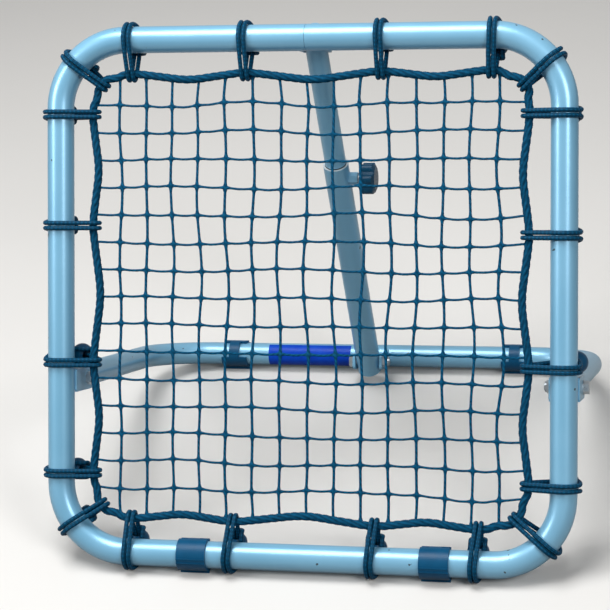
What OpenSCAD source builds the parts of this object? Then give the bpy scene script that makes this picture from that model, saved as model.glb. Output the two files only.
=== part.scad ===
// Pitch back rebounder for ball games: a square tube frame that leans back and
// holds a rope-edged net on twenty elastic loops, propped by a U-shaped rear leg
// and a telescopic brace with a clamp knob.
//
// The pieces of the frame are drawn upright and then leaned back. In that
// upright space X runs to the right, Y runs to the back and Z runs up the frame
// from the centre line of the bottom tube.

/* [Frame] */
// Width over the frame's side tubes
frame_w = 600; // [480:1:760]
// Height over the frame's tubes, measured up the lean
frame_h = 606; // [480:1:760]
// Outside diameter of the frame tube
tube_d = 30; // [25:0.5:36]
// Wall of the frame tube
tube_wall = 2; // [1:0.1:3]
// Centre line radius of the frame's four corner bends
corner_bend = 77; // [60:1:100]
// Slit where the two ends of the frame tube meet, at the middle of the top
butt_gap = 0.4; // [0.2:0.1:1]
// Length of the spigot inside that joint
spigot_len = 90; // [50:1:140]
// Wall of the spigot
spigot_wall = 1.5; // [1:0.1:3]

/* [Rear leg] */
// Outside diameter of the leg tube
leg_d = 28; // [22:0.5:32]
// Wall of the leg tube
leg_wall = 1.5; // [1:0.1:3]
// From the leg's pivot to the centre line of its cross tube
leg_reach = 343.6; // [280:0.1:420]
// Centre line radius of the leg's two bends
leg_bend = 80; // [60:1:110]
// How far each arm runs past its pivot bolt
arm_tip = 15; // [12:0.5:18]
// Height of the leg's pivot above the bottom tube, up the frame
pivot_up = 192; // [150:1:240]
// How far the leg's pivot lies behind the frame's plane
pivot_back = 40; // [38:1:55]
// Angle between the leg and a line square to the frame, at rest
leg_rise = 0.77; // [-5:0.01:5]

/* [Brace] */
// Outside diameter of the brace's outer tube
outer_d = 30; // [29:0.5:34]
// Wall of the outer tube
outer_wall = 2; // [1:0.1:2.5]
// Outside diameter of the sliding inner tube
inner_d = 25; // [20:0.5:25]
// Wall of the inner tube
inner_wall = 1.5; // [1:0.1:2.5]
// Length of the outer tube above its foot bolt
outer_len = 316; // [240:1:340]
// How far the outer tube runs past its foot bolt
outer_tip = 13; // [11:0.5:16]
// Length of the inner tube below the top bolt
inner_len = 295; // [250:1:320]
// How far the inner tube runs past the top bolt
inner_tip = 15; // [12:0.5:18]
// How far the top bolt lies behind the frame's plane
top_pivot_back = 42; // [38:1:50]
// From the leg's cross tube forward to the foot bolt
foot_pivot_ahead = 37; // [36:0.5:50]
// How far the foot bolt lies below the leg's own plane
foot_pivot_drop = 4; // [0:0.5:8]
// Diameter of the hole in the inner tube's upper end, wider than its bolt
eye_d = 15; // [8.6:0.1:17]

/* [Brackets and bolts] */
// Thickness of the bracket plates on the frame
plate_t = 2.5; // [2:0.1:4]
// Thickness of the plates that hold the brace's foot
foot_plate_t = 3.5; // [2:0.1:5]
// Height of the bracket plates
plate_h = 26; // [22:0.5:32]
// Height of the plates that hold the brace's foot
foot_plate_h = 20; // [18:0.5:26]
// Gap between a turning tube and the plate beside it
side_gap = 0.3; // [0.2:0.05:1]
// Gap at a welded seat
seat_gap = 0.05; // [0.02:0.01:0.1]
// Diameter of the bolts
bolt_d = 8; // [6:0.5:10]
// Running clearance of a bolt in its bore, on the radius
bolt_fit = 0.08; // [0.04:0.01:0.1]
// Size across the flats of bolt heads and nuts
hex_af = 13; // [10:0.5:17]
// Height of a bolt head
head_h = 5.3; // [4:0.1:7]
// Height of the six-sided part of a lock nut
nut_h = 6.2; // [5:0.1:9]
// Height of the round collar on a lock nut
collar_h = 1.8; // [1:0.1:3]
// Outside diameter of the washers
washer_d = 16; // [14:0.5:20]
// Thickness of the washers
washer_t = 1.6; // [1:0.1:2]

/* [Brace clamp] */
// From the mouth of the outer tube down to the clamp screw
clamp_down = 22; // [16:1:40]
// How far the threaded boss stands out from the outer tube
boss_len = 9.5; // [7:0.5:16]
// Diameter over the lobes of the clamp knob
knob_d = 39; // [30:1:50]
// Number of lobes on the knob
knob_lobes = 6; // [5:1:8]
// Width of the knob's rim
knob_w = 13; // [9:0.5:18]
// Depth of the slope on the knob's faces
knob_slope = 3; // [1:0.5:4]
// Gap between the boss and the knob's hub
knob_gap = 2.5; // [1:0.5:6]
// Length of the knob's hub
hub_len = 3; // [2:0.5:6]
// Diameter of the knob's hub
hub_d = 17; // [14:0.5:20]

/* [Net] */
// Distance between the twines of the net
mesh = 30.7; // [25:0.1:45]
// Thickness of the twine
twine_d = 3; // [2:0.1:4]
// Side of the woven diamond where two twines cross
knot = 5; // [4:0.1:8]
// Diameter of the rope round the net
rope_d = 9; // [7:0.5:11]
// From the centre line of the frame tube to the rope at a loop
loop_reach = 38; // [35:0.5:48]
// Dip of the rope between two loops, as a share of the distance between them
rope_sag = 0.066; // [0:0.002:0.1]

/* [Elastic loops] */
// Diameter of the elastic cord
cord_d = 5; // [4:0.1:5]
// Gap between the two strands of a loop
strand_gap = 0.8; // [0.5:0.1:1.2]
// Clearance between a loop and the tube or rope inside it
loop_gap = 0.4; // [0.2:0.1:0.8]
// Diameter of the ball that holds a loop together
ball_d = 25; // [22:0.5:28]
// From the corner of the loops' even spacing to the rope's corner
end_inset = 44; // [38:1:60]

/* [Feet] */
// Width of a clip-on foot
foot_w = 33; // [24:1:45]
// Wall of the clip-on foot
foot_wall = 3; // [2:0.1:4]
// How far the tread stands below the tube
tread_drop = 5.9; // [5.8:0.1:9]
// Width of the tread
tread_w = 13; // [10:0.5:16]
// Width of the neck of the foot's strap
neck_w = 13; // [8:0.5:20]
// Length of the strap's oval head, along the tube's skin
head_len = 13; // [9:0.5:16]
// Place of the left front foot, from the middle
front_left_foot = -129; // [-170:1:-90]
// Place of the right front foot, from the middle
front_right_foot = 145; // [90:1:170]
// Place of the rear feet, each side of the middle
rear_foot = 183; // [110:1:183]

/* [Hidden] */

$fn = 64;
steel_blue = "#9CCDF0";
zinc = "#D5DADD";
petrol = "#0B4668";
dark_petrol = "#06314A";
royal_blue = "#1F4FB0";

tube_r = tube_d / 2;
leg_r = leg_d / 2;
outer_r = outer_d / 2;
inner_r = inner_d / 2;
bolt_r = bolt_d / 2;
bore_r = bolt_r + bolt_fit;
side_x = frame_w / 2 - tube_r;      // centre line of a side tube
top_z = frame_h - tube_d;           // centre line of the top tube
mid_z = top_z / 2;                  // middle of the frame
bend_x = side_x - corner_bend;      // centres of the four corner bends
bend_z = mid_z - corner_bend;

// How the frame stands: both treads touch the floor.
front_foot_r = tube_r + tread_drop;
rear_foot_r = leg_r + tread_drop;
cross_y = pivot_back + leg_reach * cos(leg_rise);
cross_z = pivot_up + leg_reach * sin(leg_rise);
lean = atan2(cross_z, cross_y)
    + asin((front_foot_r - rear_foot_r) / norm([cross_y, cross_z]));
rear_edge = cross_y * cos(lean) + cross_z * sin(lean) + leg_r + foot_wall;
front_edge = tube_r + loop_gap + cord_d;
stand_y = (front_edge - rear_edge) / 2;

// The brace, from its foot bolt on the leg up to its top bolt on the frame.
foot_pivot = [
    leg_reach - foot_pivot_ahead,
    -foot_pivot_drop
];
foot_y = pivot_back + foot_pivot[0] * cos(leg_rise) - foot_pivot[1] * sin(leg_rise);
foot_z = pivot_up + foot_pivot[0] * sin(leg_rise) + foot_pivot[1] * cos(leg_rise);
brace_tilt = atan2(foot_y - top_pivot_back, top_z - foot_z);
brace_span = norm([foot_y - top_pivot_back, top_z - foot_z]);

// Elastic loops, in the space of one loop: its tube runs along X through the
// origin, the rope lies loop_reach below, and Y runs to the back.
cord_r = cord_d / 2;
rope_r = rope_d / 2;
ball_r = ball_d / 2;
strand_x = cord_r + strand_gap / 2;
wrap_r = tube_r + cord_r + loop_gap;
grip_r = rope_r + cord_r + loop_gap;
hook_x = strand_x + cord_d + 0.3;
hook_bend = 3;
ball_gap = 0.6;
ball_back = wrap_r + sqrt(pow(ball_r + cord_r + ball_gap, 2) - pow(hook_x, 2));
ball_bore_r = strand_x + cord_r + ball_gap;

// How far each loop was hooked on from its even place on the tube and on the
// rope, and how far its ball sits outward of the tube's centre line.
top_tube_drift = [0.1, -2.9, 15.2, 4.7];
top_rope_drift = [2.2, -1.3, 15.8, 2.4];
top_ball_out = [2, 1, 3, -9];
bottom_tube_drift = [-0.7, -20.7, 5.2, -15.2];
bottom_rope_drift = [1.1, -18, 9.1, -10.7];
bottom_ball_out = [-9, -9.5, -8.5, -8.5];
left_drift = [6.3, -5.9, 11.2, -1.1];
left_ball_out = [-8, -14, 8, 9];
right_drift = [5.2, -4.7, 2.5, -3.3];
right_ball_out = [2, 11, 1, 3];
corner_tube_angle = [138.8, 38, -42, 216.3];
corner_rope_angle = [134.7, 34.5, -46.4, 220];
corner_rope_r = [39.5, 42.2, 37.8, 39.2];
corner_ball_out = [2, 1, 3, 2];

function unit(v) = v / norm(v);

// The share t of the way from a to b.
function mix(a, b, t) = a + (b - a) * t;

// Four even places along a side whose rope runs half way out to half.
function even_places(half) = [for (i = [0:3]) (half - end_inset) * (2 * i / 3 - 1)];

// The nearest place to x where a loop fits between two twines of the net.
twine_room = strand_x + cord_r + twine_d / 2 + 1.3;
function between_twines(x) =
    let (first = floor(x / mesh) * mesh)
    first + min(max(x - first, twine_room), mesh - twine_room);

// The nearest place to z where a side loop's ball stays clear of the pivot bracket.
bracket_z = pivot_up - mid_z;
bracket_room = max(plate_h / 2, leg_r) + ball_r + 1.5;
function off_bracket(z) =
    abs(z - bracket_z) >= bracket_room
    ? z
    : bracket_z + (z < bracket_z ? -bracket_room : bracket_room);

rope_x = side_x - loop_reach;
rope_z = mid_z - loop_reach;

// Each loop is [rope point, tube point, outward, ball_out, ball_along]: the two
// points and the outward direction as [x, z] from the middle, then how far the
// ball sits outward of the tube's centre line and clockwise along the tube.
top_loops = [for (i = [0:3]) [
    [between_twines(even_places(rope_x)[i] + top_rope_drift[i]), rope_z],
    [even_places(rope_x)[i] + top_tube_drift[i], mid_z],
    [0, 1], top_ball_out[i], 0
]];
bottom_loops = [for (i = [0:3]) [
    [between_twines(even_places(rope_x)[i] + bottom_rope_drift[i]), -rope_z],
    [even_places(rope_x)[i] + bottom_tube_drift[i], -mid_z],
    [0, -1], bottom_ball_out[i], 0
]];
left_loops = [for (i = [0:3])
    let (z = even_places(rope_z)[i] + left_drift[i])
    [[-rope_x, between_twines(z)], [-side_x, z], [-1, 0], left_ball_out[i], off_bracket(z) - z]
];
right_loops = [for (i = [0:3])
    let (z = even_places(rope_z)[i] + right_drift[i])
    [[rope_x, between_twines(z)], [side_x, z], [1, 0], right_ball_out[i], z - off_bracket(z)]
];
// Corners in the order top left, top right, bottom right, bottom left.
corner_signs = [[-1, 1], [1, 1], [1, -1], [-1, -1]];
function polar(r, a) = [r * cos(a), r * sin(a)];
corner_loops = [for (i = [0:3])
    let (bend = [corner_signs[i][0] * bend_x, corner_signs[i][1] * bend_z])
    [
        bend + polar(corner_rope_r[i], corner_rope_angle[i]),
        bend + polar(corner_bend, corner_tube_angle[i]),
        polar(1, corner_tube_angle[i]), corner_ball_out[i], 0
    ]
];

// A loop's direction clockwise along its tube, how far its rope point lies
// inward of the tube point, and how far clockwise of it.
function along(loop) = [loop[2][1], -loop[2][0]];
function reach_of(loop) = (loop[1] - loop[0]) * loop[2];
function drift_of(loop) = (loop[0] - loop[1]) * along(loop);

// ---- bent rods and tubes ---------------------------------------------------

function turn_at(p, i, n) =
    let (
        a = unit(p[(i + n - 1) % n] - p[i]),
        b = unit(p[(i + 1) % n] - p[i])
    )
    180 - acos(max(-1, min(1, a * b)));

// How far a bend's ends lie from its corner point.
function bend_run(p, bends, i, n) = bends[i] * tan(turn_at(p, i, n) / 2);

// A round bar, or a tube with a bore, from a to b.
module straight(a, b, r, bore) {
    d = b - a;
    translate(a)
        rotate([0, acos(d[2] / norm(d)), atan2(d[1], d[0])])
            linear_extrude(norm(d))
                section(r, bore);
}

module section(r, bore) {
    difference() {
        circle(r);
        if (bore > 0) circle(bore);
    }
}

// A rod bent round the corner points p, with a bend radius at each of them. An
// open rod starts and ends at its first and last points.
module bent_rod(p, bends, r, bore = 0, closed = false) {
    n = len(p);
    runs = [for (i = [0:n - 1])
        !closed && (i == 0 || i == n - 1) ? 0 : bend_run(p, bends, i, n)];
    for (i = [0:n - 1]) {
        before = unit(p[(i + n - 1) % n] - p[i]);
        after = unit(p[(i + 1) % n] - p[i]);
        j = (i + 1) % n;
        starts = p[i] + after * runs[i];
        ends = p[j] - after * runs[j];
        if ((closed || i < n - 1) && norm(ends - starts) > 0.01)
            straight(starts, ends, r, bore);
        if (runs[i] > 0) {
            centre = p[i] + unit(before + after) * norm([bends[i], runs[i]]);
            ex = unit(p[i] + before * runs[i] - centre);
            ez = cross(ex, -before);
            multmatrix([
                [ex[0], -before[0], ez[0], centre[0]],
                [ex[1], -before[1], ez[1], centre[1]],
                [ex[2], -before[2], ez[2], centre[2]]
            ])
                rotate_extrude(angle = turn_at(p, i, n))
                    translate([bends[i], 0])
                        section(r, bore);
        }
    }
}

// ---- cords -----------------------------------------------------------------

// A cord's direction at point i of its path.
function way_at(p, i, closed) =
    let (n = len(p))
    unit(
        (closed || i < n - 1 ? unit(p[(i + 1) % n] - p[i]) : [0, 0, 0])
        + (closed || i > 0 ? unit(p[i] - p[(i + n - 1) % n]) : [0, 0, 0])
    );

// The part of v that is square to the direction way, at length 1.
function squared(v, way) = unit(v - way * (v * way));

// A cord with a section of so many sides along the path p. Its first ring
// starts on the side called first.
module cord(p, r, sides, first, closed = false) {
    n = len(p);
    ways = [for (i = [0:n - 1]) way_at(p, i, closed)];
    edges = [
        for (i = 0, v = squared(first, ways[0]); i < n; v = squared(v, ways[(i + 1) % n]), i = i + 1)
        v
    ];
    rings = [for (i = [0:n - 1], k = [0:sides - 1])
        let (a = 360 * (k + 0.5) / sides)
        p[i] + edges[i] * r * cos(a) + cross(ways[i], edges[i]) * r * sin(a)];
    skin = [for (i = [0:closed ? n - 1 : n - 2], k = [0:sides - 1])
        let (j = (i + 1) % n, m = (k + 1) % sides)
        each [
            [i * sides + k, j * sides + m, i * sides + m],
            [i * sides + k, j * sides + k, j * sides + m]
        ]
    ];
    ends = closed ? [] : [for (k = [1:sides - 2]) each [
        [0, k, k + 1],
        [(n - 1) * sides, (n - 1) * sides + k + 1, (n - 1) * sides + k]
    ]];
    polyhedron(rings, concat(skin, ends));
}

// ---- places ----------------------------------------------------------------

// From the frame's upright space to the leaning frame on the floor.
module leaning() {
    translate([0, stand_y, front_foot_r])
        rotate([-lean, 0, 0])
            children();
}

// The leg's own space: Y runs out along the leg from its pivot.
module on_leg() {
    leaning()
        translate([0, pivot_back, pivot_up])
            rotate([leg_rise, 0, 0])
                children();
}

// The brace's own space: Z runs up the brace from its foot bolt.
module on_brace() {
    leaning()
        translate([0, foot_y, foot_z])
            rotate([brace_tilt, 0, 0])
                children();
}

// Turns a shape drawn along Z so that it lies along X.
module along_x() {
    rotate([0, 90, 0]) children();
}

// ---- frame -----------------------------------------------------------------

module frame_path(r, bore) {
    bent_rod(
        [
            [-side_x, 0, 0],
            [-side_x, 0, top_z],
            [side_x, 0, top_z],
            [side_x, 0, 0]
        ],
        [for (i = [0:3]) corner_bend], r, bore, closed = true
    );
}

module frame_tube() {
    color(steel_blue)
        leaning()
            difference() {
                frame_path(tube_r, tube_r - tube_wall);
                translate([-butt_gap / 2, -tube_d, top_z - tube_d])
                    cube([butt_gap, 2 * tube_d, 2 * tube_d]);
            }
}

module joint_spigot() {
    spigot_r = tube_r - tube_wall - seat_gap;
    color(zinc)
        leaning()
            translate([-spigot_len / 2, 0, top_z])
                along_x()
                    linear_extrude(spigot_len)
                        section(spigot_r, spigot_r - spigot_wall);
}

// A bracket plate's outline: from its welded edge at depth near to its rounded
// corners at depth far, h high about the bolt at [bolt_at, 0].
module plate_outline(near, far, h, bolt_at) {
    corner = 5;
    difference() {
        union() {
            translate([near, -h / 2]) square([far - near - corner, h]);
            translate([near, -h / 2 + corner]) square([far - near, h - 2 * corner]);
            for (s = [-1, 1])
                translate([far - corner, s * (h / 2 - corner)]) circle(corner);
        }
        translate([bolt_at, 0]) circle(bore_r);
    }
}

// Two plates either side of x, inner faces gap apart. The outline's first axis
// runs to the back and its second runs up.
module plate_pair(x, gap, t) {
    for (s = [-1, 1])
        translate([x + s * (gap + t) / 2 - t / 2, 0, 0])
            rotate([90, 0, 90])
                linear_extrude(t)
                    children();
}

pivot_plate_gap = leg_d + 2 * side_gap;
top_plate_gap = inner_d + 2 * side_gap;
foot_plate_gap = outer_d + 2 * side_gap;
plate_front = 5;                    // where the plates start on the tube's flanks
plate_past_bolt = 19;               // from the bolt to the plates' rear edge

module pivot_bracket(side) {
    color(steel_blue)
        leaning()
            difference() {
                translate([0, 0, pivot_up])
                    plate_pair(side * side_x, pivot_plate_gap, plate_t)
                        plate_outline(
                            plate_front, pivot_back + plate_past_bolt, plate_h, pivot_back
                        );
                translate([side * side_x, 0, 0])
                    cylinder(r = tube_r + seat_gap, h = 2 * pivot_up);
            }
}

module left_pivot_bracket() {
    pivot_bracket(-1);
}

module right_pivot_bracket() {
    pivot_bracket(1);
}

module top_bracket() {
    color(steel_blue)
        leaning()
            difference() {
                translate([0, 0, top_z])
                    plate_pair(0, top_plate_gap, plate_t)
                        plate_outline(
                            plate_front, top_pivot_back + plate_past_bolt, plate_h,
                            top_pivot_back
                        );
                translate([-frame_w / 4, 0, top_z])
                    along_x()
                        cylinder(r = tube_r + seat_gap, h = frame_w / 2);
            }
}

// ---- bolts -----------------------------------------------------------------

module hexagon(h) {
    cylinder(r = hex_af / sqrt(3), h = h, $fn = 6);
}

// A bolt along X whose head bears at x = from and whose shank ends at x = to.
module bolt(from, to) {
    way = from < to ? 1 : -1;
    translate([from, 0, 0])
        rotate([0, way * 90, 0]) {
            translate([0, 0, -head_h]) hexagon(head_h);
            cylinder(r = bolt_r, h = abs(to - from));
        }
}

// A lock nut along X that bears at x = from and points to the side way.
module lock_nut(from, way) {
    difference() {
        translate([from, 0, 0])
            rotate([0, way * 90, 0]) {
                hexagon(nut_h);
                cylinder(r = hex_af / 2 - 0.6, h = nut_h + collar_h);
            }
        translate([from - frame_w / 2, 0, 0])
            along_x()
                cylinder(r = bore_r, h = frame_w);
    }
}

pivot_plate_out = pivot_plate_gap / 2 + plate_t;
top_plate_out = top_plate_gap / 2 + plate_t;
foot_plate_out = foot_plate_gap / 2 + foot_plate_t;
nut_total = nut_h + collar_h;
thread_past_nut = 1;

module at_pivots() {
    leaning()
        translate([0, pivot_back, pivot_up])
            for (side = [-1, 1])
                translate([side * side_x, 0, 0])
                    rotate([0, 0, side < 0 ? 180 : 0])
                        children();
}

module pivot_bolts() {
    color(zinc)
        at_pivots()
            bolt(
                pivot_plate_out + washer_t,
                -pivot_plate_out - nut_total - thread_past_nut
            );
}

module pivot_nuts() {
    color(zinc)
        at_pivots()
            lock_nut(-pivot_plate_out, -1);
}

module pivot_washers() {
    color(zinc)
        at_pivots()
            translate([pivot_plate_out, 0, 0])
                along_x()
                    linear_extrude(washer_t)
                        section(washer_d / 2, bore_r);
}

module top_bolt() {
    color(zinc)
        leaning()
            translate([0, top_pivot_back, top_z])
                bolt(-top_plate_out, top_plate_out + nut_total + thread_past_nut);
}

module top_nut() {
    color(zinc)
        leaning()
            translate([0, top_pivot_back, top_z])
                lock_nut(top_plate_out, 1);
}

// ---- net and rope ----------------------------------------------------------

// The loops in clockwise order round the net. Each holds a short straight piece
// of rope, and the rope dips inward between one loop and the next.
ring_loops = concat(
    [corner_loops[0]], top_loops,
    [corner_loops[1]], [for (i = [3:-1:0]) right_loops[i]],
    [corner_loops[2]], [for (i = [3:-1:0]) bottom_loops[i]],
    [corner_loops[3]], left_loops
);
ring_count = len(ring_loops);
grip_half = strand_x + cord_r + 0.5;

// The rope's centre line from one loop's grip to the start of the next, as
// [x, z] from the middle.
function rope_stretch(here, next) =
    let (
        a = here[0] + along(here) * grip_half,
        b = next[0] - along(next) * grip_half,
        chord = unit(b - a),
        dip = (a + b) / 2 + [chord[1], -chord[0]] * norm(b - a) * rope_sag,
        bow = norm(dip - a) / 8
    )
    [
        a - along(here) * 2 * grip_half,
        a,
        (a + dip) / 2 + (along(here) - chord) * bow,
        dip,
        (dip + b) / 2 + (chord - along(next)) * bow
    ];

rope_path = [for (i = [0:ring_count - 1])
    each rope_stretch(ring_loops[i], ring_loops[(i + 1) % ring_count])];
rope_sides = 8;

module border_rope() {
    color(petrol)
        leaning()
            translate([0, 0, mid_z])
                cord([for (v = rope_path) [v[0], 0, v[1]]], rope_r, rope_sides, [0, 1, 0], closed = true);
}

lines_x = floor((rope_x - rope_r) / mesh);
lines_z = floor((rope_z - rope_r) / mesh);

module net() {
    color(petrol)
        leaning()
            translate([0, twine_d / 2, mid_z])
                rotate([90, 0, 0])
                    linear_extrude(twine_d)
                        intersection() {
                            polygon(rope_path);
                            union() {
                                for (i = [-lines_x:lines_x])
                                    translate([i * mesh - twine_d / 2, -frame_h / 2])
                                        square([twine_d, frame_h]);
                                for (i = [-lines_z:lines_z])
                                    translate([-frame_w / 2, i * mesh - twine_d / 2])
                                        square([frame_w, twine_d]);
                                for (i = [-lines_x:lines_x], k = [-lines_z:lines_z])
                                    translate([i * mesh, k * mesh])
                                        rotate(45)
                                            square(knot, center = true);
                            }
                        }
}

// ---- elastic loops ---------------------------------------------------------

// Angle of the back strands from the ball down to the rope, for a loop whose
// rope lies reach away and whose ball sits ball_out outward.
function strand_fall(reach, ball_out) =
    let (
        run = ball_out + reach,
        apart = norm([ball_back, run])
    )
    atan2(ball_back, run) - asin(grip_r / apart);

// How far the strands in front lean from straight up, towards the tube's front.
function front_slope(loop) = asin((wrap_r - grip_r) / reach_of(loop));

// In a loop's own space: the point where the lines of its front and back
// strands meet below the rope, halfway between the two strands.
function grip_corner(loop) =
    let (
        fall = strand_fall(reach_of(loop), loop[3]),
        half = (180 - front_slope(loop) - fall) / 2,
        a = 90 + fall + half,
        r = grip_r / cos(half)
    )
    [drift_of(loop), r * sin(a), r * cos(a) - reach_of(loop)];

function ball_centre(loop) = [loop[4], ball_back, loop[3]];

grip_steps = 4;                     // corners of a cord's bend round the rope
wrap_steps = 8;                     // and over the tube

// The path of one strand, from inside the ball round the rope, over the tube
// and back to the hook on the ball's neck, where the two strands meet.
function strand_path(loop, side) =
    let (
        fall = strand_fall(reach_of(loop), loop[3]),
        slope = front_slope(loop),
        grip_step = (180 - slope - fall) / grip_steps,
        wrap_step = (180 + slope) / wrap_steps,
        ball = ball_centre(loop),
        inward = unit(grip_corner(loop) - ball),
        rise = cord_d + ball_gap,
        run = sqrt(pow(ball_r + cord_r + ball_gap, 2) - pow(rise, 2)),
        hook = ball + inward * run + [0, cos(fall), -sin(fall)] * rise
    )
    [
        ball - inward * 4 + [side * strand_x, 0, 0],
        for (k = [0:grip_steps - 1])
            let (a = 90 + fall + grip_step * (k + 0.5), r = grip_r / cos(grip_step / 2))
            [drift_of(loop) + side * strand_x, r * sin(a), r * cos(a) - reach_of(loop)],
        for (k = [0:wrap_steps - 1])
            let (
                a = wrap_step * (k + 0.5) - slope,
                r = wrap_r / cos(wrap_step / 2),
                way = k / (wrap_steps - 1)
            )
            [
                side * mix(strand_x, hook_x, way) + loop[4] * way,
                -r * cos(a),
                r * sin(a)
            ],
        [hook[0] + side * hook_x, wrap_r, hook[2] + hook_bend],
        [hook[0] + side * hook_x, wrap_r + hook_bend, hook[2]],
        [hook[0] + side * hook_x, hook[1] - hook_bend, hook[2]],
        [hook[0] + side * (hook_x - hook_bend), hook[1], hook[2]]
    ];

cord_sides = 6;

module elastic(loop) {
    there = strand_path(loop, -1);
    back = strand_path(loop, 1);
    last = len(back) - 1;
    cord(
        concat(there, [for (i = [last:-1:0]) back[i]]),
        cord_r, cord_sides, [1, 0, 0]
    );
}

module ball(loop) {
    blind = 5;                      // how far the bore runs past the ball's middle
    way = unit(grip_corner(loop) - ball_centre(loop));
    translate(ball_centre(loop))
        rotate([0, acos(way[2]), atan2(way[1], way[0])])
            difference() {
                sphere(ball_r);
                translate([0, 0, -blind]) cylinder(r = ball_bore_r, h = ball_d);
            }
}

// From a loop's own space to its place on the frame.
module at_loop(loop) {
    leaning()
        translate([loop[1][0], 0, mid_z + loop[1][1]])
            rotate([0, atan2(loop[2][0], loop[2][1]), 0])
                children();
}

module elastics(loops) {
    color(petrol)
        for (loop = loops)
            at_loop(loop)
                elastic(loop);
}

module balls(loops) {
    color(dark_petrol)
        for (loop = loops)
            at_loop(loop)
                ball(loop);
}

module top_elastics() {
    elastics(top_loops);
}

module bottom_elastics() {
    elastics(bottom_loops);
}

module left_elastics() {
    elastics(left_loops);
}

module right_elastics() {
    elastics(right_loops);
}

module corner_elastics() {
    elastics(corner_loops);
}

module top_balls() {
    balls(top_loops);
}

module bottom_balls() {
    balls(bottom_loops);
}

module left_balls() {
    balls(left_loops);
}

module right_balls() {
    balls(right_loops);
}

module corner_balls() {
    balls(corner_loops);
}

// ---- clip-on feet ----------------------------------------------------------

foot_fit = 0.1;

// Part of a ring round Z from angle a0 to a1.
module ring_part(r_in, r_out, a0, a1, w) {
    rotate([0, 0, a0])
        rotate_extrude(angle = a1 - a0)
            translate([r_in, -w / 2])
                square([r_out - r_in, w]);
}

// A foot in its own space: the tube runs along Z, X points to the front and Y
// runs up. Its shell spans shell[0] to shell[1], and its strap runs on to a
// head centred at angle head_at. The tread faces ground_at.
module foot_clip(seat_r, shell, head_at, ground_at) {
    r_in = seat_r + foot_fit;
    r_out = seat_r + foot_wall;
    head_half = head_len / (2 * r_out) * 180 / PI;
    head_from = head_at - head_half;
    spare = 8;
    ring_end = head_at + head_half + spare;
    groove = 1.2;
    slot = [8, 2.5];
    difference() {
        union() {
            ring_part(r_in, r_out, shell[0], ring_end, foot_w);
            rotate([0, 0, ground_at])
                translate([r_in + 1, -tread_w / 2, -foot_w / 2])
                    cube([seat_r + tread_drop - r_in - 1, tread_w, foot_w]);
            for (a = [shell[1] - 90, shell[1] - 106])
                rotate([0, 0, a])
                    translate([r_out - 0.5, -groove / 2, -foot_w / 2])
                        cube([1.3, groove, foot_w]);
        }
        rotate([0, 0, ground_at])
            for (k = [-1:1])
                translate([seat_r + tread_drop - 1, 3 * k - groove / 2, -foot_w])
                    cube([2, groove, 2 * foot_w]);
        for (s = [-1, 1])
            translate([0, 0, s * (foot_w + neck_w) / 2])
                ring_part(r_in - 1, r_out + 1, shell[1], head_from, foot_w);
        difference() {
            ring_part(r_in - 2, r_out + 2, head_from - 2, ring_end + 1, foot_w + 2);
            rotate([0, 0, head_at])
                translate([seat_r / 2, 0, 0]) {
                    rotate([0, 90, 0])
                        linear_extrude(seat_r) {
                            square([foot_w - head_len, head_len], center = true);
                            for (s = [-1, 1])
                                translate([s * (foot_w - head_len) / 2, 0])
                                    circle(d = head_len);
                        }
                    translate([0, -head_len, -neck_w / 2])
                        cube([seat_r, head_len, neck_w]);
                }
        }
        rotate([0, 0, head_at])
            translate([seat_r / 2, -slot[1] / 2, -slot[0] / 2])
                cube([seat_r, slot[1], slot[0]]);
    }
}

// From a foot's own space to the frame's upright space at x.
module foot_at(x) {
    translate([x, 0, 0])
        rotate([90, 0, -90])
            children();
}

ground_at = -90 - lean;
front_shell = [-150, 80];
front_head_at = 112;
rear_shell = [-235, -15];
rear_head_at = 90;

module front_foot(x) {
    color(petrol)
        leaning()
            foot_at(x)
                foot_clip(tube_r, front_shell, front_head_at, ground_at);
}

module rear_foot_clip(x) {
    color(petrol)
        leaning()
            translate([0, cross_y, cross_z])
                foot_at(x)
                    foot_clip(leg_r, rear_shell, rear_head_at, ground_at);
}

module front_left_foot_clip() {
    front_foot(front_left_foot);
}

module front_right_foot_clip() {
    front_foot(front_right_foot);
}

module rear_left_foot_clip() {
    rear_foot_clip(-rear_foot);
}

module rear_right_foot_clip() {
    rear_foot_clip(rear_foot);
}

// ---- rear leg --------------------------------------------------------------

module rear_leg() {
    color(steel_blue)
        on_leg()
            difference() {
                bent_rod(
                    [
                        [-side_x, -arm_tip, 0],
                        [-side_x, leg_reach, 0],
                        [side_x, leg_reach, 0],
                        [side_x, -arm_tip, 0]
                    ],
                    [0, leg_bend, leg_bend, 0], leg_r, leg_r - leg_wall
                );
                for (side = [-1, 1])
                    translate([side * side_x - leg_d, 0, 0])
                        along_x()
                            cylinder(r = bore_r, h = 2 * leg_d);
            }
}

module brace_foot_bracket() {
    color(steel_blue)
        on_leg()
            translate([0, leg_reach, 0])
                difference() {
                    translate([0, 0, -foot_pivot_drop])
                        rotate([0, 0, 180])
                            plate_pair(0, foot_plate_gap, foot_plate_t)
                                plate_outline(
                                    plate_front, foot_pivot_ahead + foot_plate_h / 2,
                                    foot_plate_h, foot_pivot_ahead
                                );
                    translate([-foot_plate_gap, 0, 0])
                        along_x()
                            cylinder(r = leg_r + seat_gap, h = 2 * foot_plate_gap);
                }
}

module foot_bolt() {
    color(zinc)
        on_leg()
            translate([0, foot_pivot[0], foot_pivot[1]])
                bolt(-foot_plate_out, foot_plate_out + nut_total + thread_past_nut);
}

module foot_nut() {
    color(zinc)
        on_leg()
            translate([0, foot_pivot[0], foot_pivot[1]])
                lock_nut(foot_plate_out, 1);
}

// A plain adhesive band on the front of the cross tube.
band_from = -137;
band_to = -28.5;
band_t = 0.3;

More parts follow.
